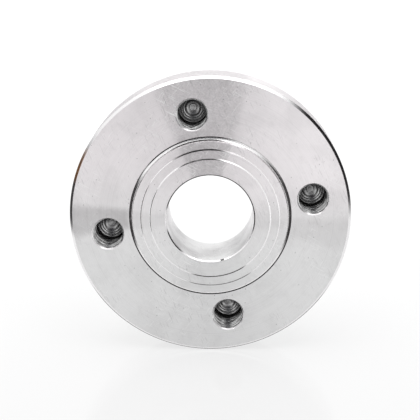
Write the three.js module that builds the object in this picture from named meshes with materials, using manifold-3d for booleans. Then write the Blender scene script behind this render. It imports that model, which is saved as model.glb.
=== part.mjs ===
// Backplate (adapter plate) for a small lathe chuck, 100 mm across.
//
// One turned steel plate carries a chuck on its front face: a stepped register boss centres it and
// four blind M12 tapped holes take its bolts. Four M8 studs in the back pass through the holes of a
// plain spindle flange, and a washer and a nut on each stud clamp the plate to it.
//
// Millimetres, +Z up. The plate's axis lies along Y, the front face looks along -Y, and the plate
// stands on its rim. The origin is under the middle of the whole object, at the level of its lowest line.

import * as THREE from 'three';
import { mergeVertices } from 'three/addons/utils/BufferGeometryUtils.js';
import Module from 'manifold-3d';

// ---------------------------------------------------------------- driving dimensions

const PLATE = {
  rimRadius: 50, // 100 mm nominal plate
  rimThickness: 18,
  frontChamfer: 0.9,
  backChamfer: 1,
  boreRadius: 15.5,
  boreChamfer: 0.4,
};

// Front register boss, from its outer shoulder to its raised middle: radius and height over the face.
const BOSS_STEPS = [
  { radius: 27.5, height: 2.2, edge: 0.25 },
  { radius: 24.6, height: 2.8, edge: 0.15 },
  { radius: 21.3, height: 3.1, edge: 0.12 },
];
const BOSS_ROOT = 0.9; // the slope where the boss runs out into the face

// Raised seat on the back, with the recess that fits over the spindle flange's 55 mm spigot.
const SEAT = {
  radius: 44,
  height: 6,
  edge: 0.8,
  registerRadius: 27.5,
  registerDepth: 3,
  registerChamfer: 0.5,
};

// M12 x 1.75 blind holes for the chuck's bolts.
const CHUCK_HOLE = {
  count: 4,
  circleRadius: 37,
  firstAngle: 100, // degrees from +X towards +Z
  drillRadius: 5.15,
  drillDepth: 15,
  sinkRadius: 5.8,
};
const DRILL_POINT_HALF_ANGLE = 59; // 118 degree drill point

// M8 x 25 studs, screwed 10 mm into the back. A 0.3 mm gap stands for each thread's play.
const GAP = 0.3;
const STUD = {
  count: 4,
  circleRadius: 36,
  angleFromHoles: 45,
  radius: 4,
  reach: 25, // beyond the seat
  grip: 10, // inside the plate
  shankLength: 1.5, // plain part between the two threads, outside the plate
  shankRadius: 3.7,
  endChamfer: 0.8,
  holeDepth: 13,
  holeSinkRadius: 4.8,
};
const WASHER = { outerRadius: 8, thickness: 1.6, edge: 0.25 };
const NUT = { acrossFlats: 13, height: 6.8, sinkDepth: 0.6, chamferAngle: 30 };

const RIM_SEGMENTS = 96;
const HOLE_SEGMENTS = 28;
const FASTENER_SEGMENTS = 24;
const OVERCUT = 2; // how far a cutter stands out of the face it cuts

// ---------------------------------------------------------------- places worked out from them

const bossHeight = BOSS_STEPS[BOSS_STEPS.length - 1].height;
const seatFace = PLATE.rimThickness + SEAT.height; // y of the seat, from the front face
const depth = bossHeight + seatFace + STUD.reach;
const frontFace = bossHeight - depth / 2; // world y of the front face
const axisHeight = PLATE.rimRadius * Math.cos(Math.PI / RIM_SEGMENTS); // the rim rests on a facet

const radians = THREE.MathUtils.degToRad;

// ---------------------------------------------------------------- solids

const wasm = await Module();
wasm.setup();

function solidOf(geometry) {
  const bare = geometry.index ? geometry.toNonIndexed() : geometry.clone();
  bare.deleteAttribute('normal');
  bare.deleteAttribute('uv');
  const merged = mergeVertices(bare, 1e-4);
  const triangles = [];
  const index = merged.index.array;
  for (let i = 0; i < index.length; i += 3) {
    const [a, b, c] = [index[i], index[i + 1], index[i + 2]];
    if (a !== b && b !== c && c !== a) triangles.push(a, b, c);
  }
  return new wasm.Manifold(new wasm.Mesh({
    numProp: 3,
    vertProperties: Float32Array.from(merged.attributes.position.array),
    triVerts: Uint32Array.from(triangles),
  }));
}

function geometryOf(solid) {
  const mesh = solid.getMesh();
  const geometry = new THREE.BufferGeometry();
  geometry.setAttribute('position', new THREE.BufferAttribute(mesh.vertProperties, 3));
  geometry.setIndex(new THREE.BufferAttribute(mesh.triVerts, 1));
  return geometry;
}

// A solid turned about the Y axis. The outline is a list of [radius, y], up the outside first.
function turned(outline, segments, closed = false) {
  const points = outline.map(([radius, y]) => new THREE.Vector2(radius, y));
  if (closed) points.push(points[0].clone());
  const geometry = new THREE.LatheGeometry(points, segments, Math.PI / segments);
  return solidOf(geometry);
}

function placeOnCircle(radius, degrees) {
  return [radius * Math.cos(radians(degrees)), radius * Math.sin(radians(degrees))];
}

// ---------------------------------------------------------------- the plate

function bossOutline() {
  const outline = [];
  for (const step of [...BOSS_STEPS].reverse()) {
    outline.push([step.radius - step.edge, -step.height]);
    outline.push([step.radius, -step.height + step.edge]);
    const below = BOSS_STEPS[BOSS_STEPS.indexOf(step) - 1];
    outline.push([step.radius, below ? -below.height : -BOSS_ROOT]);
  }
  outline.push([BOSS_STEPS[0].radius + BOSS_ROOT, 0]);
  return outline;
}

function plateOutline() {
  const { rimRadius, rimThickness, frontChamfer, backChamfer, boreRadius, boreChamfer } = PLATE;
  const recessFloor = seatFace - SEAT.registerDepth;
  return [
    [boreRadius, -bossHeight + boreChamfer],
    [boreRadius + boreChamfer, -bossHeight],
    ...bossOutline(),
    [rimRadius - frontChamfer, 0],
    [rimRadius, frontChamfer],
    [rimRadius, rimThickness - backChamfer],
    [rimRadius - backChamfer, rimThickness],
    [SEAT.radius, rimThickness],
    [SEAT.radius, seatFace - SEAT.edge],
    [SEAT.radius - SEAT.edge, seatFace],
    [SEAT.registerRadius + SEAT.registerChamfer, seatFace],
    [SEAT.registerRadius, seatFace - SEAT.registerChamfer],
    [SEAT.registerRadius, recessFloor],
    [boreRadius + boreChamfer, recessFloor],
    [boreRadius, recessFloor - boreChamfer],
  ];
}

// A blind hole drilled along +Y from y = 0, countersunk at its mouth.
function blindHole(radius, drillDepth, sinkRadius) {
  const pointDepth = radius / Math.tan(radians(DRILL_POINT_HALF_ANGLE));
  const sinkDepth = sinkRadius - radius;
  return turned([
    [0, -OVERCUT],
    [sinkRadius + OVERCUT, -OVERCUT],
    [radius, sinkDepth],
    [radius, drillDepth],
    [0, drillDepth + pointDepth],
  ], HOLE_SEGMENTS);
}

function adapterPlate() {
  let plate = turned(plateOutline(), RIM_SEGMENTS, true);
  const chuckHole = blindHole(CHUCK_HOLE.drillRadius, CHUCK_HOLE.drillDepth, CHUCK_HOLE.sinkRadius);
  for (let i = 0; i < CHUCK_HOLE.count; i += 1) {
    const [x, z] = placeOnCircle(CHUCK_HOLE.circleRadius, CHUCK_HOLE.firstAngle + (i * 360) / CHUCK_HOLE.count);
    plate = plate.subtract(chuckHole.translate([x, 0, z]));
  }
  const studHole = blindHole(STUD.radius + GAP, STUD.holeDepth, STUD.holeSinkRadius).rotate([180, 0, 0]);
  for (let i = 0; i < STUD.count; i += 1) {
    const [x, z] = studPlace(i);
    plate = plate.subtract(studHole.translate([x, seatFace, z]));
  }
  return geometryOf(plate);
}

// ---------------------------------------------------------------- studs, washers and nuts

function studPlace(i) {
  const angle = CHUCK_HOLE.firstAngle + STUD.angleFromHoles + (i * 360) / STUD.count;
  return placeOnCircle(STUD.circleRadius, angle);
}

// The seat lies at y = 0.
function stud() {
  const { radius, reach, grip, shankLength, shankRadius, endChamfer } = STUD;
  const fade = radius - shankRadius;
  return geometryOf(turned([
    [0, -grip],
    [radius - endChamfer, -grip],
    [radius, -grip + endChamfer],
    [radius, -fade],
    [shankRadius, 0],
    [shankRadius, shankLength],
    [radius, shankLength + fade],
    [radius, reach - endChamfer],
    [radius - endChamfer, reach],
    [0, reach],
  ], FASTENER_SEGMENTS));
}

function washer() {
  const { outerRadius, thickness, edge } = WASHER;
  const holeRadius = STUD.radius + GAP;
  return geometryOf(turned([
    [holeRadius, 0],
    [outerRadius - edge, 0],
    [outerRadius, edge],
    [outerRadius, thickness - edge],
    [outerRadius - edge, thickness],
    [holeRadius, thickness],
  ], FASTENER_SEGMENTS, true));
}

function nut() {
  const { acrossFlats, height, sinkDepth, chamferAngle } = NUT;
  const cornerRadius = acrossFlats / 2 / Math.cos(Math.PI / 6);
  const faceRadius = (acrossFlats / 2) * 0.97;
  const chamferDepth = (cornerRadius - faceRadius) * Math.tan(radians(chamferAngle));
  const holeRadius = STUD.radius + GAP;
  const hexagon = new THREE.CylinderGeometry(cornerRadius, cornerRadius, height, 6);
  hexagon.translate(0, height / 2, 0);
  const rounding = turned([
    [0, 0],
    [faceRadius, 0],
    [cornerRadius, chamferDepth],
    [cornerRadius, height - chamferDepth],
    [faceRadius, height],
    [0, height],
  ], FASTENER_SEGMENTS * 2);
  const hole = turned([
    [0, -OVERCUT],
    [holeRadius + sinkDepth + OVERCUT, -OVERCUT],
    [holeRadius, sinkDepth],
    [holeRadius, height - sinkDepth],
    [holeRadius + sinkDepth + OVERCUT, height + OVERCUT],
    [0, height + OVERCUT],
  ], FASTENER_SEGMENTS);
  return geometryOf(solidOf(hexagon).intersect(rounding).subtract(hole));
}

// ---------------------------------------------------------------- assembly

const steel = () => new THREE.MeshStandardMaterial({ color: 0xc9c6c6, roughness: 0.3, metalness: 1 });
const darkSteel = () => new THREE.MeshStandardMaterial({ color: 0x4a4a4e, roughness: 0.45, metalness: 1 });
const zinc = () => new THREE.MeshStandardMaterial({ color: 0xb9bcbf, roughness: 0.35, metalness: 1 });

const backplate = new THREE.Group();
backplate.position.set(0, frontFace, axisHeight);

function addPiece(name, geometry, material, x = 0, y = 0, z = 0) {
  const mesh = new THREE.Mesh(geometry, material);
  mesh.name = name;
  mesh.position.set(x, y, z);
  backplate.add(mesh);
}

addPiece('adapter_plate', adapterPlate(), steel());

for (let i = 0; i < STUD.count; i += 1) {
  const [x, z] = studPlace(i);
  const washerFace = seatFace + GAP;
  const nutFace = washerFace + WASHER.thickness + GAP;
  addPiece(`stud_${i + 1}`, stud(), darkSteel(), x, seatFace, z);
  addPiece(`washer_${i + 1}`, washer(), zinc(), x, washerFace, z);
  addPiece(`nut_${i + 1}`, nut(), zinc(), x, nutFace, z);
}

export default backplate;
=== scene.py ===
import math

import bmesh
import bpy
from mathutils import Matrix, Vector
from mathutils.geometry import delaunay_2d_cdt


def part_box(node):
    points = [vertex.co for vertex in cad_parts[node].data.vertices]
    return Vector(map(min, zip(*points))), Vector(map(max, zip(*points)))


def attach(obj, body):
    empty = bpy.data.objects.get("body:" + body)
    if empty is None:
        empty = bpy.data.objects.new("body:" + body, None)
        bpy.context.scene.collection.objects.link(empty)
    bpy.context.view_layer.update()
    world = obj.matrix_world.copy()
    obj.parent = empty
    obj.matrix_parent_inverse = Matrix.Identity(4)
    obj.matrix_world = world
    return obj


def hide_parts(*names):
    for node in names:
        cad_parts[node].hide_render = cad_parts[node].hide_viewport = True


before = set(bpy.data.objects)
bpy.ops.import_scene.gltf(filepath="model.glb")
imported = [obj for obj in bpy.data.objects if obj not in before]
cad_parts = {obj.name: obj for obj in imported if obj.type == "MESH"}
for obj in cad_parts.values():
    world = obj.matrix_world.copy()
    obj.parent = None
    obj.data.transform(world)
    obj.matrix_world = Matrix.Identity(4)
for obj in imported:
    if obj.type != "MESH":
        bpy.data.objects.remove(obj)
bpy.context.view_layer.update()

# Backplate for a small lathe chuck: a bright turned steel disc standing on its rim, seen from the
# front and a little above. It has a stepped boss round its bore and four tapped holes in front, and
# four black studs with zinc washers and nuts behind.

MM = 0.001
FULL_TURN = 2 * math.pi
MERGE_DISTANCE = 0.002 * MM  # patches that meet share their points within this
TOO_SHORT = 1e-7  # an edge shorter than this, in metres, is dropped
NEAR = 0.01  # how far off a radius or height may be and still count as the same, in millimetres
SAME_HEIGHT = 1e-4  # the same for the two ends of a stretch that is square to the axis
SHARP = math.radians(28)  # faces that meet at more than this are shaded with an edge between them
NUT_SHARP = math.radians(20)

# ---------------------------------------------------------------- dimensions, in millimetres

BOSS_RADIUS = 27.5
BOSS_HEIGHT = 2.2
BOSS_ROOT = 0.9
RING_1_RADIUS = 24.6
RING_1_HEIGHT = 2.8
RING_2_RADIUS = 21.3
RING_2_HEIGHT = 3.1
ROOT_GROOVE_WIDTH = 0.44
ROOT_GROOVE_DEPTH = 0.15
STEP_CREST = 0.22  # how far the rounded-over edge of a ring reaches in
STEP_SLOPE = 0.2  # how far its slope reaches out
BORE_RADIUS = 15.5
BORE_CHAMFER = 0.4
RIM_THICKNESS = 18
RIM_FRONT_CHAMFER = 0.9
RIM_BACK_CHAMFER = 1
SEAT_RADIUS = 44
RECESS_RADIUS = 27.5
RECESS_DEPTH = 3
RECESS_CHAMFER = 0.5
DRILL_POINT = math.radians(59)

HOLE_CIRCLE = 37
HOLE_FIRST_ANGLE = 100
HOLE_COUNT = 4
HOLE = {"minor": 5.15, "root": 6, "pitch": 1.75, "threaded": 12.4, "depth": 15,
        "sink": 5.8, "sink_depth": 0.34}
LEAD_IN = 6  # how fast the thread's start falls away under the countersink

STUD_COUNT = 4
STUD_HOLE = {"radius": 4.3, "sink": 4.8, "depth": 13}
STUD = {"crest": 3.98, "root": 3.25, "pitch": 1.25, "shank": 3.6, "shank_end": 1.5, "chamfer": 0.8}
NUT = {"across_flats": 13, "face_share": 0.95, "sink": 4.6, "crest": 3.42, "root": 4.08,
       "corner_round": 0.12, "face_edge": 0.15, "face_edge_drop": 0.04}
NUT_SIDE_DROPS = (0.08, 0.3)  # how far two rows on a nut's side lie under its chamfer
WASHER_RADII = (4.25, 8)

# ---------------------------------------------------------------- places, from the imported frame

plate_low, plate_high = (Vector(corner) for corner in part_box("adapter_plate"))
RIM_RADIUS = (plate_high.z - plate_low.z) / 2 / MM
AXIS_HEIGHT = (plate_high.z + plate_low.z) / 2
FRONT_FACE = plate_low.y + RING_2_HEIGHT * MM
SEAT = (plate_high.y - FRONT_FACE) / MM  # from the front face
FACE_CENTRE = Vector((0, FRONT_FACE, AXIS_HEIGHT))


def centre_of(node):
    low, high = (Vector(corner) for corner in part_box(node))
    return (low + high) / 2


def reach_of(node):
    """The lowest and highest y of a node."""
    low, high = (Vector(corner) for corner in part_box(node))
    return low.y, high.y


# ---------------------------------------------------------------- mesh making

class Skin:
    """Collects patches in millimetres, then joins them into one closed mesh."""

    def __init__(self):
        self.points = []
        self.faces = []
        self.looks = []
        self.flat = []

    def add(self, points, faces, look=0, flat=False):
        """Adds faces that all have one look, or that have a list of looks."""
        first = len(self.points)
        self.points += points
        self.faces += [tuple(first + corner for corner in face) for face in faces]
        self.looks += look if isinstance(look, list) else [look] * len(faces)
        self.flat += [flat] * len(faces)

    def rows(self, rows, look=0, flat=False):
        """Quads between closed rows that all have the same number of points."""
        count = len(rows[0])
        faces = []
        for row in range(len(rows) - 1):
            for column in range(count):
                beside = (column + 1) % count
                faces.append((row * count + column, row * count + beside,
                              (row + 1) * count + beside, (row + 1) * count + column))
        self.add([point for row in rows for point in row], faces, look, flat)

    def cap(self, row, tip, look=0):
        """Triangles from a closed row to one point."""
        count = len(row)
        faces = [(column, (column + 1) % count, count) for column in range(count)]
        self.add(list(row) + [tip], faces, look)

    def sheet_with_holes(self, outer, inner, holes, y, look=0):
        """A flat ring between two circles, less round holes. A circle is (x, z, radius, steps)."""
        flat_points, edges = [], []
        for x, z, radius, steps in [outer, inner] + holes:
            first = len(flat_points)
            ring = circle(radius, y, steps, x, z)
            flat_points += [Vector((point[0], point[2])) for point in ring]
            edges += [(first + i, first + (i + 1) % steps) for i in range(steps)]
        placed, _, faces, *_ = delaunay_2d_cdt(flat_points, edges, [], 0, 1e-6)
        kept = []
        for face in faces:
            middle = sum((placed[corner] for corner in face), Vector((0, 0))) / len(face)
            inside = inner[2] < middle.length < outer[2]
            in_hole = any((middle - Vector(hole[:2])).length < hole[2] * math.cos(math.pi / hole[3])
                          for hole in holes)
            if inside and not in_hole:
                kept.append(tuple(face))
        self.add([(point.x, y, point.y) for point in placed], kept, look, flat=True)

    def piece(self, name, materials, place, sharp=SHARP):
        """One object at a place in metres, with its edges shaded sharp or smooth."""
        mesh = bpy.data.meshes.new(name)
        mesh.from_pydata([Vector(point) * MM for point in self.points], [], self.faces)
        work = bmesh.new()
        work.from_mesh(mesh)
        work.faces.ensure_lookup_table()
        flat = work.faces.layers.int.new("flat")
        for face, look, is_flat in zip(work.faces, self.looks, self.flat):
            face.material_index = look
            face[flat] = int(is_flat)
            face.smooth = True
        bmesh.ops.remove_doubles(work, verts=work.verts, dist=MERGE_DISTANCE)
        bmesh.ops.dissolve_degenerate(work, edges=work.edges, dist=TOO_SHORT)
        bmesh.ops.recalc_face_normals(work, faces=work.faces)
        for edge in work.edges:
            if len(edge.link_faces) != 2:
                continue
            one, other = edge.link_faces
            edge.smooth = one[flat] == other[flat] and edge.calc_face_angle(0) < sharp
        work.faces.layers.int.remove(flat)
        work.to_mesh(mesh)
        work.free()
        for material in materials:
            mesh.materials.append(material)
        made = bpy.data.objects.new(name, mesh)
        made.location = place
        bpy.context.scene.collection.objects.link(made)
        return made


def even_angles(steps):
    return [FULL_TURN * i / steps for i in range(steps)]


def circle(radius, y, steps, x=0, z=0):
    """A ring of points round the Y axis, or round a line beside it."""
    return [(x + radius * math.sin(a), y, z + radius * math.cos(a)) for a in even_angles(steps)]


def rounded(corners, steps=5):
    """A closed outline of (radius, y, fillet) corners, with each corner made an arc."""
    outline = []
    for i, (r, y, fillet) in enumerate(corners):
        here = Vector((r, y))
        before = (Vector(corners[i - 1][:2]) - here).normalized()
        after = (Vector(corners[(i + 1) % len(corners)][:2]) - here).normalized()
        half = before.angle(after) / 2
        if not fillet:
            outline.append(tuple(here))
            continue
        centre = here + (before + after).normalized() * fillet / math.sin(half)
        start = here + before * fillet / math.tan(half) - centre
        end = here + after * fillet / math.tan(half) - centre
        turn = start.angle_signed(end)
        for step in range(steps + 1):
            angle = -turn * step / steps
            c, s = math.cos(angle), math.sin(angle)
            spoke = Vector((start.x * c - start.y * s, start.x * s + start.y * c))
            outline.append(tuple(centre + spoke))
    return outline


# The flat parts of a 60 degree thread, as shares of its pitch: a hole's crest and its root.
CREST_FLAT = 0.25
ROOT_FLAT = 0.125
# Where each turn has a row of points: the ends of both flats, and two places on each flank.
THREAD_PHASES = (0, 0.125, 0.23, 0.335, 0.4375, 0.5625, 0.665, 0.77, 0.875)
ROOT_ROWS = (1, 2, 3, 4)  # the rows of faces on the flank that rises along +Y, and on the root


def thread_share(phase):
    """How far out from the axis a thread's surface lies: 0 on a hole's crest, 1 at its root."""
    from_root = abs(phase % 1 - 0.5) * 2
    return min(max((1 - CREST_FLAT - from_root) / (1 - CREST_FLAT - ROOT_FLAT), 0), 1)


def threaded_wall(skin, x, z, pitch, start, end, radius_at, angles, look=0, zero=0,
                  root_look=None):
    """A wall whose rows follow a right-handed helix, cut square at both ends.

    radius_at(share, y) gives the radius for a share of the thread's depth. The root and the flank
    before it can have a look of their own."""
    first = math.floor((start - zero) / pitch) - 2
    last = math.ceil((end - zero) / pitch) + 1
    rows = [(turn, phase) for turn in range(first, last) for phase in THREAD_PHASES]
    points = []
    for angle in angles:
        share_of_turn = angle / FULL_TURN
        for turn, phase in rows:
            y = zero + (turn + phase + share_of_turn) * pitch
            y = min(max(y, start), end)
            share = thread_share((y - zero) / pitch - share_of_turn)
            radius = radius_at(share, y)
            points.append((x + radius * math.sin(angle), y, z + radius * math.cos(angle)))
    columns = len(angles)
    faces, looks = [], []
    per_turn, height = len(THREAD_PHASES), len(rows)
    for column in range(columns):
        beside = (column + 1) % columns
        shift = per_turn if beside == 0 else 0
        for row in range(height - 1 - shift):
            here, there = column * height + row, beside * height + row + shift
            at_root = root_look is not None and row % per_turn in ROOT_ROWS
            faces.append((here, there, there + 1, here + 1))
            looks.append(root_look if at_root else look)
    skin.add(points, faces, looks)


# ---------------------------------------------------------------- material making

class Look:
    """A node tree, with short names for the nodes that it uses."""

    def __init__(self, tree):
        self.tree = tree
        tree.nodes.clear()

    def node(self, kind, inputs=None, **settings):
        made = self.tree.nodes.new(kind)
        for key, value in settings.items():
            setattr(made, key, value)
        for key, value in (inputs or {}).items():
            self.put(made.inputs[key], value)
        return made

    def put(self, socket, value):
        if isinstance(value, bpy.types.NodeSocket):
            self.tree.links.new(value, socket)
        else:
            socket.default_value = value

    def math(self, operation, a, b=0.0, c=0.0):
        made = self.node("ShaderNodeMath", operation=operation)
        for socket, value in zip(made.inputs, (a, b, c)):
            self.put(socket, value)
        return made.outputs[0]

    def ramp(self, value, low, high, to_low=0.0, to_high=1.0):
        """A smooth step from to_low to to_high as value goes from low to high."""
        limits = {"From Min": low, "From Max": high, "To Min": to_low, "To Max": to_high}
        made = self.node("ShaderNodeMapRange", {"Value": value, **limits},
                         interpolation_type="SMOOTHSTEP")
        return made.outputs["Result"]

    def parts(self, vector):
        """A vector's x, y and z."""
        return tuple(self.node("ShaderNodeSeparateXYZ", {0: vector}).outputs)

    def noise(self, vector, scale, detail=3.0, roughness=0.55):
        made = self.node("ShaderNodeTexNoise", {"Vector": vector, "Scale": scale,
                                                "Detail": detail, "Roughness": roughness})
        return made.outputs[0]

    def line_noise(self, distance, scale, detail=2.0):
        """Noise along one distance only, which makes rings."""
        made = self.node("ShaderNodeTexNoise", noise_dimensions="1D")
        self.put(made.inputs["W"], distance)
        self.put(made.inputs["Scale"], scale)
        self.put(made.inputs["Detail"], detail)
        return made.outputs[0]

    def scratches(self, vector, turn, length, width, share):
        """Fine straight lines in one direction, as 1 on a line and 0 beside it."""
        stretch = {"Rotation": (0, turn, turn / 3), "Scale": (length, length, width)}
        turned = self.node("ShaderNodeMapping", {"Vector": vector, **stretch},
                           vector_type="TEXTURE")
        lines = self.noise(turned.outputs[0], 1.0, 1.0)
        return self.ramp(lines, 1 - share, 1 - share + 0.05)

    def specks(self, vector, size, share):
        """Small round dots, each in its own cell."""
        cells = self.node("ShaderNodeTexVoronoi", {"Vector": vector, "Scale": 1 / size})
        dot = self.ramp(cells.outputs["Distance"], 0.05, 0.16, 1.0, 0.0)
        chance = self.node("ShaderNodeSeparateColor", {0: cells.outputs["Color"]}).outputs[0]
        return self.math("MULTIPLY", dot, self.ramp(chance, 1 - share, 1 - share + 0.02))

    def mix(self, share, one, other):
        made = self.node("ShaderNodeMix", data_type="RGBA")
        self.put(made.inputs["Factor"], share)
        self.put(made.inputs["A"], one)
        self.put(made.inputs["B"], other)
        return made.outputs["Result"]

    def bump(self, height, strength, distance, normal=None):
        made = self.node("ShaderNodeBump", {"Height": height, "Strength": strength,
                                            "Distance": distance})
        if normal:
            self.put(made.inputs["Normal"], normal)
        return made.outputs[0]


class Material(Look):
    """A material's node tree, with the point in the piece's own frame and its radius from Y."""

    def __init__(self, name):
        self.material = bpy.data.materials.new(name)
        self.material.use_nodes = True
        super().__init__(self.material.node_tree)
        self.vector = self.node("ShaderNodeTexCoord").outputs["Object"]
        self.x, self.y, self.z = self.parts(self.vector)
        across = self.math("MULTIPLY_ADD", self.x, self.x, self.math("MULTIPLY", self.z, self.z))
        self.radius = self.math("SQRT", across)

    def radius_ramp(self, ends, to_low=0.0, to_high=1.0):
        """A smooth step between two radii in millimetres."""
        return self.ramp(self.radius, ends[0] * MM, ends[1] * MM, to_low, to_high)

    def sector(self, middle, half, soft):
        """1 within a sector round the Y axis, fading to 0 over its soft border."""
        angle = math.radians(middle)
        along = self.math("MULTIPLY", self.x, math.cos(angle))
        along = self.math("MULTIPLY_ADD", self.z, math.sin(angle), along)
        cosine = self.math("DIVIDE", along, self.math("MAXIMUM", self.radius, 1 * MM))
        outer, inner = math.radians(half + soft), math.radians(half - soft)
        return self.ramp(cosine, math.cos(outer), math.cos(inner))

    def surface(self, colour, roughness, normal, **sockets):
        shader = self.node("ShaderNodeBsdfPrincipled", {"Base Color": colour,
                                                        "Roughness": roughness, "Normal": normal})
        for key, value in sockets.items():
            self.put(shader.inputs[key.replace("_", " ")], value)
        self.node("ShaderNodeOutputMaterial", {"Surface": shader.outputs[0]})
        return self.material


def grey(level, warm=0.0):
    return (level * (1 + warm), level, level * (1 + warm * 0.4), 1)


# Sectors are (middle, half, soft) in degrees, counted from +X towards +Z, and radii are in mm.
# The fans are painted shade: at the top it is mixed with a patchy stain, and at each side it is
# shade alone.
TOP_FAN = (94, 19, 3)
SIDE_SHADE_FANS = [((182, 6, 3), 1.8), ((352, 6, 3), 0.7)]  # with their strengths; the top one's is 1
# painted highlight: a lighter sector of the face at the upper right
PAINTED_HIGHLIGHT_SECTOR = (42, 28, 14)
PAINTED_HIGHLIGHT_RADII = (24, 44)
BOSS_FADE_RADII = (28, 30)
# painted shade: a dark line along the rim's lowest stretch
RIM_BOTTOM_SHADE = (270, 56, 6)
RIM_BOTTOM_SHADE_RADII = (49.6, 49.75)
RUST_SPREAD = (5, 4)
RUST_RADII = (47, 48)
RUST_COLOUR = (0.55, 0.27, 0.12, 1)


def uneven_dark(look, across, feed, smear, mottle):
    """How dark turned steel is in each place, from clouds, smears, broad bands and feed marks."""
    cloud = look.noise(look.vector, 75, 4.0, 0.6)
    bands = look.line_noise(across, 700, 2.0)
    dark = look.math("MULTIPLY", look.ramp(cloud, 0.42, 0.68), 0.12 * mottle)
    dark = look.math("MULTIPLY_ADD", look.ramp(smear, 0.5, 0.72), 0.10 * mottle, dark)
    dark = look.math("MULTIPLY_ADD", look.ramp(bands, 0.45, 0.7), 0.04, dark)
    return look.math("MULTIPLY_ADD", look.ramp(feed, 0.4, 0.65), 0.08, dark)


def with_fans(look, dark, top, smear, stain_and_shade):
    """A dark share with dull fans of painted shade added to it: a patchy one at the top, which is
    partly a stain, and a plain one each side.
    """
    boss = look.radius_ramp(BOSS_FADE_RADII, 1.0, 0.0)
    grain = look.ramp(look.noise(look.vector, 1500, 3.0), 0.42, 0.6)
    patchy = look.ramp(smear, 0.3, 0.6, 0.55, 1.0)
    patchy = look.math("MULTIPLY_ADD", boss, 0.45, patchy)
    patchy = look.math("MULTIPLY_ADD", grain, 0.6, look.math("MULTIPLY", patchy, 0.8))
    dark = look.math("MULTIPLY_ADD", look.math("MULTIPLY", top, patchy), stain_and_shade, dark)
    off_boss = look.math("MULTIPLY_ADD", boss, -0.7, 1.0)
    for sector, strength in SIDE_SHADE_FANS:
        fan = look.math("MULTIPLY", look.sector(*sector), off_boss)
        dark = look.math("MULTIPLY_ADD", fan, stain_and_shade * strength, dark)
    return dark


def clean_steel(look, level):
    """Turned steel without its marks: a little warmer towards the top, with a painted highlight over
    a sector at the upper right.
    """
    warmth = look.ramp(look.z, -20 * MM, 25 * MM)
    bright = look.mix(warmth, grey(level), grey(level * 0.985, 0.045))
    # painted highlight: the sector at the upper right is made paler
    painted_highlight = look.math("MULTIPLY", look.sector(*PAINTED_HIGHLIGHT_SECTOR), look.radius_ramp(PAINTED_HIGHLIGHT_RADII, 0.5, 1.0))
    return look.mix(painted_highlight, bright, grey(level * 1.1, 0.04))


def turned_steel(name, level, roughness, anisotropy, stain_and_shade=0.0, mottle=1.0):
    """Bright turned steel with feed marks, smears, scratches and specks. A nonzero fan strength adds
    dull fans of painted shade, with a patchy stain in the top one.
    """
    look = Material(name)
    vector = look.vector
    across = look.math("MULTIPLY_ADD", look.y, 1.7, look.radius)
    feed = look.line_noise(across, 5200, 2.0)
    smear = look.noise(vector, 260, 5.0, 0.7)
    dark = uneven_dark(look, across, feed, smear, mottle)
    rubbed = look.ramp(look.noise(vector, 45, 3.0), 0.42, 0.62, 0.06, 0.42)
    # painted shade: dull fans at the top and sides, the top one partly a stain
    if stain_and_shade:
        top = look.sector(*TOP_FAN)
        dark = with_fans(look, dark, top, smear, stain_and_shade)
        rubbed = look.math("MULTIPLY_ADD", top, 0.3, rubbed)
    colour = look.mix(dark, clean_steel(look, level), grey(level * 0.42, 0.03))
    lines = look.math("MAXIMUM", look.scratches(vector, 0.5, 0.005, 0.00032, 0.36),
                      look.scratches(vector, 2.1, 0.004, 0.0003, 0.35))
    darker_lines = look.scratches(vector, 1.2, 0.004, 0.0003, 0.36)
    colour = look.mix(look.math("MULTIPLY", lines, rubbed), colour, grey(min(level * 1.2, 0.98)))
    colour = look.mix(look.math("MULTIPLY", darker_lines, rubbed), colour, grey(level * 0.55, 0.03))
    dots = look.specks(vector, 1.6 * MM, 0.22)
    colour = look.mix(look.math("MULTIPLY", dots, 0.55), colour, grey(0.12, 0.05))
    rough = look.math("MULTIPLY_ADD", dark, 0.22, roughness)
    rough = look.math("MULTIPLY_ADD", lines, 0.08, rough)
    normal = look.bump(feed, 0.25, 0.02 * MM)
    normal = look.bump(lines, 0.3, 0.01 * MM, normal)
    tangent = look.node("ShaderNodeTangent", direction_type="RADIAL", axis="Y").outputs[0]
    return look.surface(colour, rough, normal, Metallic=1.0, Anisotropic=anisotropy,
                        Anisotropic_Rotation=0.25, Tangent=tangent)


def hole_steel(name, level, tip_level):
    """Cut steel with old oil and chips on it. Towards a drill point's tip it turns to tip_level, so
    that a drill point's outer part, deep in the hole's shade, can be painted lighter than its tip.
    """
    look = Material(name)
    grime = look.noise(look.vector, 420, 4.0, 0.65)
    rings = look.line_noise(look.y, 2600, 1.0)
    share = look.math("MULTIPLY_ADD", look.ramp(grime, 0.48, 0.62), 0.35,
                      look.math("MULTIPLY", look.ramp(rings, 0.42, 0.58), 0.5))
    # painted light: the colour runs from level on the drill point's outer part to tip_level at its
    # tip
    towards_tip = look.ramp(look.y, (HOLE["depth"] - 0.1) * MM, (HOLE["depth"] + 2) * MM)
    clean = look.mix(towards_tip, grey(level), grey(tip_level))
    colour = look.mix(share, clean, grey(level * 0.10, 0.06))
    rough = look.math("MULTIPLY_ADD", grime, 0.2, 0.1)
    return look.surface(colour, rough, look.bump(rings, 0.8, 0.1 * MM), Metallic=1.0)


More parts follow.
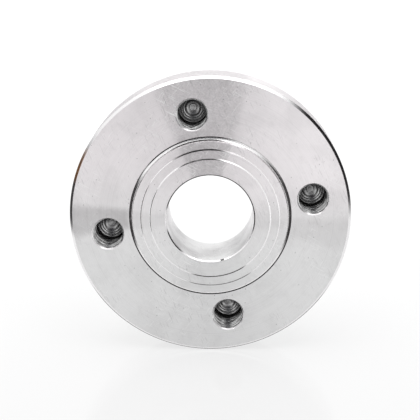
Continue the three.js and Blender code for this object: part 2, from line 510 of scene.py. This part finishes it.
def edge_steel(name, level, shaded_sectors, rust_at=None):
    """A burnished edge with painted shade over some sectors. On the rim it also has a line of
    painted shade along its lowest stretch.
    """
    look = Material(name)
    blotches = look.noise(look.vector, 500, 3.0)
    dark = 0.0
    # painted shade over the listed sectors
    for sector in shaded_sectors:
        dark = look.math("MAXIMUM", dark, look.sector(*sector))
    dark = look.math("MULTIPLY", dark, look.ramp(blotches, 0.2, 0.45, 0.85, 1.0))
    colour = look.mix(dark, grey(level, 0.01), grey(0.05, 0.06))
    # painted shade: a dark line on the rim's lowest stretch
    shade_line = look.math("MULTIPLY", look.sector(*RIM_BOTTOM_SHADE), look.radius_ramp(RIM_BOTTOM_SHADE_RADII))
    colour = look.mix(look.math("MULTIPLY", shade_line, 0.85), colour, grey(0.07, 0.05))
    if rust_at is not None:
        rust = look.math("MULTIPLY", look.sector(rust_at, *RUST_SPREAD),
                         look.radius_ramp(RUST_RADII))
        colour = look.mix(look.math("MULTIPLY", rust, 0.6), colour, RUST_COLOUR)
    rough = look.math("MULTIPLY_ADD", blotches, 0.15, 0.2)
    return look.surface(colour, rough, look.bump(blotches, 0.1, 0.02 * MM), Metallic=1.0)


def countersink_steel(name, level, shaded_level):
    """A bright countersink with painted shade on its lower side, where it faces up."""
    look = Material(name)
    upwards = look.parts(look.node("ShaderNodeTexCoord").outputs["Normal"])[2]
    blotches = look.noise(look.vector, 500, 3.0)
    # painted shade where the countersink faces up
    colour = look.mix(look.ramp(upwards, 0.1, 0.6), grey(level, 0.01), grey(shaded_level, 0.03))
    rough = look.math("MULTIPLY_ADD", blotches, 0.15, 0.2)
    return look.surface(colour, rough, look.bump(blotches, 0.1, 0.02 * MM), Metallic=1.0)


def painted_shade_steel(name):
    """Near-black steel for painted shade in a tapped hole's thread roots and in its plain end below
    the thread.
    """
    look = Material(name)
    blotches = look.noise(look.vector, 600, 3.0)
    colour = look.mix(blotches, grey(0.05, 0.05), grey(0.16, 0.04))
    rough = look.math("MULTIPLY_ADD", blotches, 0.4, 0.35)
    return look.surface(colour, rough, look.bump(blotches, 0.2, 0.02 * MM), Metallic=0.6)


def black_oxide(name):
    """Black oxide that has worn bright on the thread's crests."""
    look = Material(name)
    wear = look.noise(look.vector, 900, 3.0)
    worn = look.math("MULTIPLY_ADD", wear, 0.35 * MM, look.radius)
    crest = look.ramp(worn, (STUD["crest"] + 0.04) * MM, (STUD["crest"] + 0.18) * MM)
    colour = look.mix(look.math("MULTIPLY", crest, 0.8), grey(0.045, 0.02), grey(0.34, 0.02))
    rust = look.ramp(look.noise(look.vector, 300, 4.0), 0.62, 0.75)
    colour = look.mix(look.math("MULTIPLY", rust, 0.35), colour, (0.11, 0.06, 0.04, 1))
    rough = look.math("MULTIPLY_ADD", wear, 0.25, 0.26)
    return look.surface(colour, rough, look.bump(wear, 0.2, 0.03 * MM), Metallic=1.0)


def zinc_plate(name, seed):
    """Clear zinc: pale blue-grey, slightly cloudy, with small dull spots."""
    look = Material(name)
    shift = {"Vector": look.vector, "Location": (seed, 0, seed)}
    moved = look.node("ShaderNodeMapping", shift).outputs[0]
    cloud = look.noise(moved, 330, 4.0, 0.6)
    rub = look.scratches(moved, 1.1, 0.004, 0.00012, 0.32)
    colour = look.mix(look.ramp(cloud, 0.3, 0.75), (0.60, 0.62, 0.66, 1), (0.42, 0.44, 0.47, 1))
    colour = look.mix(look.math("MULTIPLY", rub, 0.4), colour, (0.72, 0.73, 0.75, 1))
    dull = look.specks(moved, 1.1 * MM, 0.3)
    colour = look.mix(look.math("MULTIPLY", dull, 0.35), colour, (0.3, 0.3, 0.31, 1))
    rough = look.math("MULTIPLY_ADD", cloud, 0.3, 0.20)
    return look.surface(colour, rough, look.bump(cloud, 0.15, 0.04 * MM), Metallic=1.0)


def pale_floor(name):
    """A white, faintly glossy table top."""
    look = Material(name)
    cloud = look.noise(look.vector, 3.0, 2.0)
    colour = look.mix(cloud, (0.205, 0.205, 0.207, 1), (0.215, 0.215, 0.214, 1))
    rough = look.math("MULTIPLY_ADD", look.noise(look.vector, 60, 2.0), 0.05, 0.1)
    return look.surface(colour, rough, look.bump(cloud, 0.02, 0.1 * MM), Specular_IOR_Level=0.12,
                        Emission_Color=(1, 1, 1, 1), Emission_Strength=0.655)


# the face's dull fans are painted shade, the top one partly a stain
FACE_STEEL = turned_steel("turned_face_steel", 0.77, 0.28, 0.82, stain_and_shade=0.22)
BORE_STEEL = turned_steel("bored_steel", 0.88, 0.34, 0.5, mottle=2.2)
HOLE_STEEL = hole_steel("tapped_hole_steel", 0.56, 0.56)
# painted light: the drill point's shaded outer part is painted much lighter than its tip
CONE_STEEL = hole_steel("drill_point_steel", 0.9, 0.42)
HOLE_SHADE_STEEL = painted_shade_steel("painted_hole_shade_steel")
# Each edge's listed sectors are painted shade; on the bore's mouth they stand for a dark reflection.
# The rim's rust is a real stain.
EDGE_STEEL = edge_steel("outer_edge_steel", 0.9, [(28, 24, 6), (170, 15, 5)], rust_at=158)
GROOVE_STEEL = edge_steel("root_groove_steel", 0.7, [(270, 128, 14), (108, 32, 8)])
MOUTH_STEEL = edge_steel("bore_mouth_steel", 0.95, [(75, 92, 6), (213, 16, 5), (286, 2.4, 0.8)])
SLOPE_STEEL = edge_steel("step_slope_steel", 0.95, [(100, 18, 6), (279, 25, 4)])
CREST_STEEL = edge_steel("step_crest_steel", 0.92, [(99, 21, 5), (172, 20, 6), (279, 26, 4)])
SHOULDER_STEEL = edge_steel("shoulder_steel", 0.9, [(12, 34, 10), (176, 24, 8)])
SINK_STEEL = countersink_steel("countersink_steel", 0.98, 0.62)
PLATE_LOOKS = [FACE_STEEL, BORE_STEEL, HOLE_STEEL, HOLE_SHADE_STEEL, EDGE_STEEL, GROOVE_STEEL,
               MOUTH_STEEL, SLOPE_STEEL, CREST_STEEL, SINK_STEEL, CONE_STEEL, SHOULDER_STEEL]
(FACE, BORE, HOLE_WALL, HOLE_SHADE, EDGE, GROOVE,
 MOUTH, SLOPE, CREST, SINK, CONE, SHOULDER) = range(len(PLATE_LOOKS))
STUD_STEEL = black_oxide("black_oxide_steel")

# ---------------------------------------------------------------- the plate

PLATE_STEPS = 360
MOUTH_STEPS = 64
STUD_MOUTH_STEPS = 48
WIDE = 10  # a flat ring wider than this may have holes in it
LONG = 1  # a flat ring wider than this is shaded flat


def step_corners(radius, top, foot):
    """A small step outwards and down: a rounded-over crest, then a slope to the foot."""
    return [
        (radius - STEP_CREST, top, 0),
        (radius, top + STEP_CREST / 2, 0),
        (radius + STEP_SLOPE, foot, 0),
    ]


def plate_outline():
    recess_floor = SEAT - RECESS_DEPTH
    groove_start = BOSS_RADIUS + BOSS_ROOT
    return rounded([
        (BORE_RADIUS, -RING_2_HEIGHT + BORE_CHAMFER, 0.1),
        (BORE_RADIUS + BORE_CHAMFER, -RING_2_HEIGHT, 0.1),
        *step_corners(RING_2_RADIUS, -RING_2_HEIGHT, -RING_1_HEIGHT),
        *step_corners(RING_1_RADIUS, -RING_1_HEIGHT, -BOSS_HEIGHT),
        (BOSS_RADIUS, -BOSS_HEIGHT, 0.25),
        (BOSS_RADIUS, 0, BOSS_ROOT),
        (groove_start, 0, 0),
        (groove_start + ROOT_GROOVE_WIDTH / 2, ROOT_GROOVE_DEPTH, 0),
        (groove_start + ROOT_GROOVE_WIDTH, 0, 0),
        (RIM_RADIUS - RIM_FRONT_CHAMFER, 0, 0.12),
        (RIM_RADIUS, RIM_FRONT_CHAMFER, 0.12),
        (RIM_RADIUS, RIM_THICKNESS - RIM_BACK_CHAMFER, 0.15),
        (RIM_RADIUS - RIM_BACK_CHAMFER, RIM_THICKNESS, 0.15),
        (SEAT_RADIUS, RIM_THICKNESS, 0.5),
        (SEAT_RADIUS, SEAT, 0.6),
        (RECESS_RADIUS + RECESS_CHAMFER, SEAT, 0.12),
        (RECESS_RADIUS, SEAT - RECESS_CHAMFER, 0.12),
        (RECESS_RADIUS, recess_floor, 0.25),
        (BORE_RADIUS + BORE_CHAMFER, recess_floor, 0.1),
        (BORE_RADIUS, recess_floor - BORE_CHAMFER, 0.1),
    ])


def on_circle(radius, degrees):
    return radius * math.cos(math.radians(degrees)), radius * math.sin(math.radians(degrees))


def turned_look(here, there):
    """Which material a stretch of the outline takes."""
    low, high = sorted((here[0], there[0]))
    shallow, deep = sorted((here[1], there[1]))
    in_front = deep < 0
    at_face = shallow > -NEAR and deep < 1
    boss_foot = BOSS_RADIUS + BOSS_ROOT
    if high <= BORE_RADIUS + NEAR:
        return BORE
    if in_front and high <= BORE_RADIUS + BORE_CHAMFER + NEAR:
        return MOUTH
    for step in (RING_1_RADIUS, RING_2_RADIUS):
        if in_front and step - NEAR <= low and high <= step + STEP_SLOPE + NEAR:
            return SLOPE
        if in_front and step - STEP_CREST - NEAR <= low and high <= step + NEAR:
            return CREST
    at_foot = -BOSS_ROOT - NEAR < shallow < 1
    if at_foot and BOSS_RADIUS - NEAR <= low and high <= boss_foot + NEAR:
        return SHOULDER if high > BOSS_RADIUS + BOSS_ROOT / 2 else SLOPE
    if at_face and low > RIM_RADIUS - RIM_FRONT_CHAMFER - 0.1:
        return EDGE
    if at_face and high < boss_foot + 1:
        return GROOVE
    return FACE


def tapped_hole(skin, x, z):
    """A blind tapped hole in the front face, with a countersunk mouth and a drill point."""

    def wall(share, y):
        fade = min(max((HOLE["threaded"] - y) / HOLE["pitch"], 0), 1)
        threaded = HOLE["minor"] + (HOLE["root"] - HOLE["minor"]) * share * fade
        below_sink = y - HOLE["sink_depth"]
        lead_in = HOLE["sink"] - HOLE["sink_depth"] + LEAD_IN * below_sink
        return max(min(threaded, lead_in), HOLE["sink"] - y)

    # the thread roots take the painted shade
    threaded_wall(skin, x, z, HOLE["pitch"], HOLE["sink_depth"], HOLE["threaded"], wall,
                  even_angles(MOUTH_STEPS), HOLE_WALL, root_look=HOLE_SHADE)
    sink_depths = (0, 0.1, HOLE["sink_depth"])
    skin.rows([circle(HOLE["sink"] - y, y, MOUTH_STEPS, x, z) for y in sink_depths], SINK)
    ends = (HOLE["threaded"], HOLE["depth"])
    # painted shade: the hole's plain end below its thread
    skin.rows([circle(HOLE["minor"], y, MOUTH_STEPS, x, z) for y in ends], HOLE_SHADE)
    tip = HOLE["depth"] + HOLE["minor"] / math.tan(DRILL_POINT)
    skin.cap(circle(HOLE["minor"], HOLE["depth"], MOUTH_STEPS, x, z), (x, tip, z), CONE)


def stud_hole(skin, x, z):
    """A blind hole in the seat, which the stud fills."""
    sink = STUD_HOLE["sink"] - STUD_HOLE["radius"]
    bottom = SEAT - STUD_HOLE["depth"]
    rows = [circle(STUD_HOLE["sink"], SEAT, STUD_MOUTH_STEPS, x, z)]
    for y in (SEAT - sink, bottom):
        rows.append(circle(STUD_HOLE["radius"], y, STUD_MOUTH_STEPS, x, z))
    skin.rows(rows, HOLE_WALL)
    tip = bottom - STUD_HOLE["radius"] / math.tan(DRILL_POINT)
    skin.cap(rows[-1], (x, tip, z), HOLE_WALL)


def mouths_in(y, mouths_at):
    """The holes' mouths in the flat face at a height, if it has any."""
    for height, mouths in mouths_at.items():
        if abs(y - height) < NEAR:
            return mouths
    return []


def make_plate():
    skin = Skin()
    outline = plate_outline()
    holes = [on_circle(HOLE_CIRCLE, HOLE_FIRST_ANGLE + 360 * i / HOLE_COUNT)
             for i in range(HOLE_COUNT)]
    studs = []
    for i in range(STUD_COUNT):
        stud = centre_of(f"stud_{i + 1}") - FACE_CENTRE
        studs.append((stud.x / MM, stud.z / MM))
    mouths_at = {
        0: [(x, z, HOLE["sink"], MOUTH_STEPS) for x, z in holes],
        SEAT: [(x, z, STUD_HOLE["sink"], STUD_MOUTH_STEPS) for x, z in studs],
    }
    for here, there in zip(outline, outline[1:] + outline[:1]):
        low, high = sorted((here[0], there[0]))
        square = abs(here[1] - there[1]) < SAME_HEIGHT
        mouths = mouths_in(here[1], mouths_at) if square and high - low > WIDE else []
        if mouths:
            outer, inner = ((0, 0, radius, PLATE_STEPS) for radius in (high, low))
            skin.sheet_with_holes(outer, inner, mouths, here[1])
        else:
            rows = [circle(r, y, PLATE_STEPS) for r, y in (here, there)]
            long = math.dist(here, there) > LONG
            skin.rows(rows, look=turned_look(here, there), flat=square and long)
    for x, z in holes:
        tapped_hole(skin, x, z)
    for x, z in studs:
        stud_hole(skin, x, z)
    plate = skin.piece("plate_body", PLATE_LOOKS, FACE_CENTRE)
    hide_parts("adapter_plate")
    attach(plate, "plate")


# ---------------------------------------------------------------- studs, washers and nuts

STUD_STEPS = 48
WASHER_STEPS = 96
NUT_CHAMFER = math.radians(30)
# The columns of one side of a nut, in degrees from the middle of its flat.
HEX_OFFSETS = (-30, -29, -27.6, -25, -20, -14, -7, 0, 7, 14, 20, 25, 27.6, 29)


def make_stud(i):
    """A stud whose place is its centre line where it leaves the seat."""
    low, high = reach_of(f"stud_{i}")
    seat_y = plate_high.y
    inner, outer = (low - seat_y) / MM, (high - seat_y) / MM
    centre = centre_of(f"stud_{i}")
    skin = Skin()

    def thread(share, y):
        full = STUD["root"] + (STUD["crest"] - STUD["root"]) * share
        ends = min(y - inner, outer - y) + STUD["crest"] - STUD["chamfer"]
        plain = 0 < y < STUD["shank_end"]
        runout = min(abs(y), abs(y - STUD["shank_end"])) if not plain else 0
        fade = min(runout / STUD["pitch"], 1)
        return min(STUD["shank"] + (full - STUD["shank"]) * fade, ends)

    threaded_wall(skin, 0, 0, STUD["pitch"], inner, outer, thread, even_angles(STUD_STEPS))
    end_radius = STUD["crest"] - STUD["chamfer"]
    for y in (inner, outer):
        skin.cap(circle(end_radius, y, STUD_STEPS), (0, y, 0))
    stud = skin.piece(f"stud_thread_{i}", [STUD_STEEL], (centre.x, seat_y, centre.z))
    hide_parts(f"stud_{i}")
    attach(stud, "plate")


def make_washer(i, material):
    low, high = reach_of(f"washer_{i}")
    thickness = (high - low) / MM
    inner, outer = WASHER_RADII
    outline = rounded([
        (inner, 0, 0.08),
        (outer, 0, 0.12),
        (outer, thickness, 0.42),
        (inner, thickness, 0.25),
    ])
    skin = Skin()
    for here, there in zip(outline, outline[1:] + outline[:1]):
        flat = abs(here[1] - there[1]) < SAME_HEIGHT
        skin.rows([circle(r, y, WASHER_STEPS) for r, y in (here, there)], flat=flat)
    centre = centre_of(f"washer_{i}")
    washer = skin.piece(f"washer_ring_{i}", [material], (centre.x, low, centre.z))
    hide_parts(f"washer_{i}")
    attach(washer, f"washer_{i}")


def hex_angles():
    return [math.radians(60 * side + 30 + offset) for side in range(6) for offset in HEX_OFFSETS]


def hex_ring(radius_at, y_at):
    """A ring with a column at each of the nut's angles; the offset runs from the flat's middle."""
    points = []
    for i, angle in enumerate(hex_angles()):
        radius = radius_at(math.radians(HEX_OFFSETS[i % len(HEX_OFFSETS)]))
        points.append((radius * math.sin(angle), y_at(radius), radius * math.cos(angle)))
    return points


def hexagon(y_at, radius_limit):
    """A ring on the nut's flats, at a height that depends on the distance from the axis."""
    apothem = NUT["across_flats"] / 2
    return hex_ring(lambda offset: min(apothem / math.cos(offset), radius_limit), y_at)


def hex_circle(radius, y):
    return hex_ring(lambda offset: radius, lambda r: y)


def make_nut(i, material):
    """A hexagon nut with 30 degree chamfers. Its thread keeps the stud's helix, a little larger."""
    low, high = reach_of(f"nut_{i}")
    height = (high - low) / MM
    apothem = NUT["across_flats"] / 2
    corner = apothem / math.cos(math.pi / 6) - NUT["corner_round"]
    face = apothem * NUT["face_share"]
    slope = math.tan(NUT_CHAMFER)
    skin = Skin()
    near_half = [
        hex_circle(NUT["sink"], 0),
        hex_circle(face - NUT["face_edge"], 0),
        hex_circle(face, NUT["face_edge_drop"]),
    ]
    for drop in NUT_SIDE_DROPS:
        near_half.append(hexagon(lambda r: (r - face) * slope + drop, corner))
    far_half = [[(x, height - y, z) for x, y, z in row] for row in reversed(near_half)]
    rows = near_half + far_half
    skin.rows(rows[:2], flat=True)
    skin.rows(rows[1:-1])
    skin.rows(rows[-2:], flat=True)

    def thread(share, y):
        inside = NUT["crest"] + (NUT["root"] - NUT["crest"]) * share
        return max(inside, NUT["sink"] - y, NUT["sink"] - (height - y))

    from_seat = (low - plate_high.y) / MM
    threaded_wall(skin, 0, 0, STUD["pitch"], 0, height, thread, hex_angles(), zero=-from_seat)
    centre = centre_of(f"nut_{i}")
    nut = skin.piece(f"hex_nut_{i}", [material], (centre.x, low, centre.z), NUT_SHARP)
    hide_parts(f"nut_{i}")
    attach(nut, f"nut_{i}")


make_plate()
for number in range(1, STUD_COUNT + 1):
    zinc = zinc_plate(f"zinc_plate_{number}", 0.37 * number)
    make_stud(number)
    make_washer(number, zinc)
    make_nut(number, zinc)

# ---------------------------------------------------------------- floor, light and camera

FLOOR_RINGS = (0.3, 1, 3, 9)
FLOOR_STEPS = 96
VIEW_ELEVATION = math.radians(13.65)
VIEW_TURN = math.radians(0.74)
VIEW_DISTANCE = 420.5 * MM
VIEW_RIGHT = 0.09 * MM
VIEW_UP = -2.34 * MM
LENS = 101.6
SOFTBOX_SIDE = 1.4
SOFTBOX_PLACE = (0, -0.3, 1.3)
SOFTBOX_RADIANCE = 1.7
STUDIO_WHITE = (1.0, 1.0, 1.0, 1)
STUDIO_DARK = (0.12, 0.12, 0.13, 1)
STUDIO_STRENGTH = 1.04


def make_floor():
    skin = Skin()
    rings = [circle(radius / MM, 0, FLOOR_STEPS) for radius in FLOOR_RINGS]
    skin.rows(rings)
    skin.cap(rings[0], (0, 0, 0))
    floor = skin.piece("floor", [pale_floor("pale_floor")], (0, 0, 0))
    floor.rotation_euler = (math.pi / 2, 0, 0)


def make_world():
    """A white studio. It has a dark gap high behind the camera, a dark flag on each side and two
    low dark panels in the rear corners."""
    world = bpy.data.worlds.new("studio")
    world.use_nodes = True
    look = Look(world.node_tree)
    x, y, z = look.parts(look.node("ShaderNodeTexCoord").outputs["Generated"])

    def below(value, start, end):
        """1 up to start, then fading to 0 at end."""
        return look.ramp(value, start, end, 1.0, 0.0)

    def product(*shares):
        made = shares[0]
        for share in shares[1:]:
            made = look.math("MULTIPLY", made, share)
        return made

    sideways = look.math("ABSOLUTE", look.math("MULTIPLY_ADD", z, 0.12, x))
    gap = product(below(sideways, 0.10, 0.34), below(y, -0.15, 0.1), look.ramp(z, 0.0, 0.12))
    right_flag = product(look.ramp(x, 0.1, 0.3), below(z, 0.60, 0.85))
    left_flag = product(below(x, -0.3, -0.1), below(z, 0.25, 0.45))
    beside = below(look.math("ABSOLUTE", y), 0.12, 0.30)
    flags = product(beside, look.math("ADD", right_flag, left_flag))
    away = look.math("ABSOLUTE", x)
    rear = product(look.ramp(away, 0.40, 0.52), below(away, 0.70, 0.82),
                   look.ramp(y, 0.2, 0.35), look.ramp(z, 0.6, 0.8, 0.8, 0.0))
    dark = look.math("MAXIMUM", look.math("MAXIMUM", gap, flags), rear)
    light = look.mix(dark, STUDIO_WHITE, STUDIO_DARK)
    shader = look.node("ShaderNodeBackground", {"Color": light, "Strength": STUDIO_STRENGTH})
    look.node("ShaderNodeOutputWorld", {"Surface": shader.outputs[0]})
    bpy.context.scene.world = world


def make_softbox():
    """A large soft light above and a little in front. It whitens the floor and upper chamfers."""
    lamp = bpy.data.lights.new("softbox", "AREA")
    lamp.size = SOFTBOX_SIDE
    lamp.energy = SOFTBOX_RADIANCE * math.pi * SOFTBOX_SIDE ** 2
    above = bpy.data.objects.new("softbox", lamp)
    above.location = SOFTBOX_PLACE
    bpy.context.scene.collection.objects.link(above)


def make_camera():
    camera = bpy.data.cameras.new("camera")
    camera.lens = LENS
    camera.sensor_width = 36
    camera.clip_end = 100
    e, t = VIEW_ELEVATION, VIEW_TURN
    forward = Vector((-math.cos(e) * math.sin(t), math.cos(e) * math.cos(t), -math.sin(e)))
    right = Vector((math.cos(t), math.sin(t), 0))
    up = right.cross(forward)
    eye = bpy.data.objects.new("camera", camera)
    eye.location = FACE_CENTRE - forward * VIEW_DISTANCE - right * VIEW_RIGHT - up * VIEW_UP
    eye.rotation_euler = forward.to_track_quat("-Z", "Y").to_euler()
    bpy.context.scene.collection.objects.link(eye)
    bpy.context.scene.camera = eye


make_floor()
make_world()
make_softbox()
make_camera()
bpy.context.scene.view_settings.view_transform = "Standard"
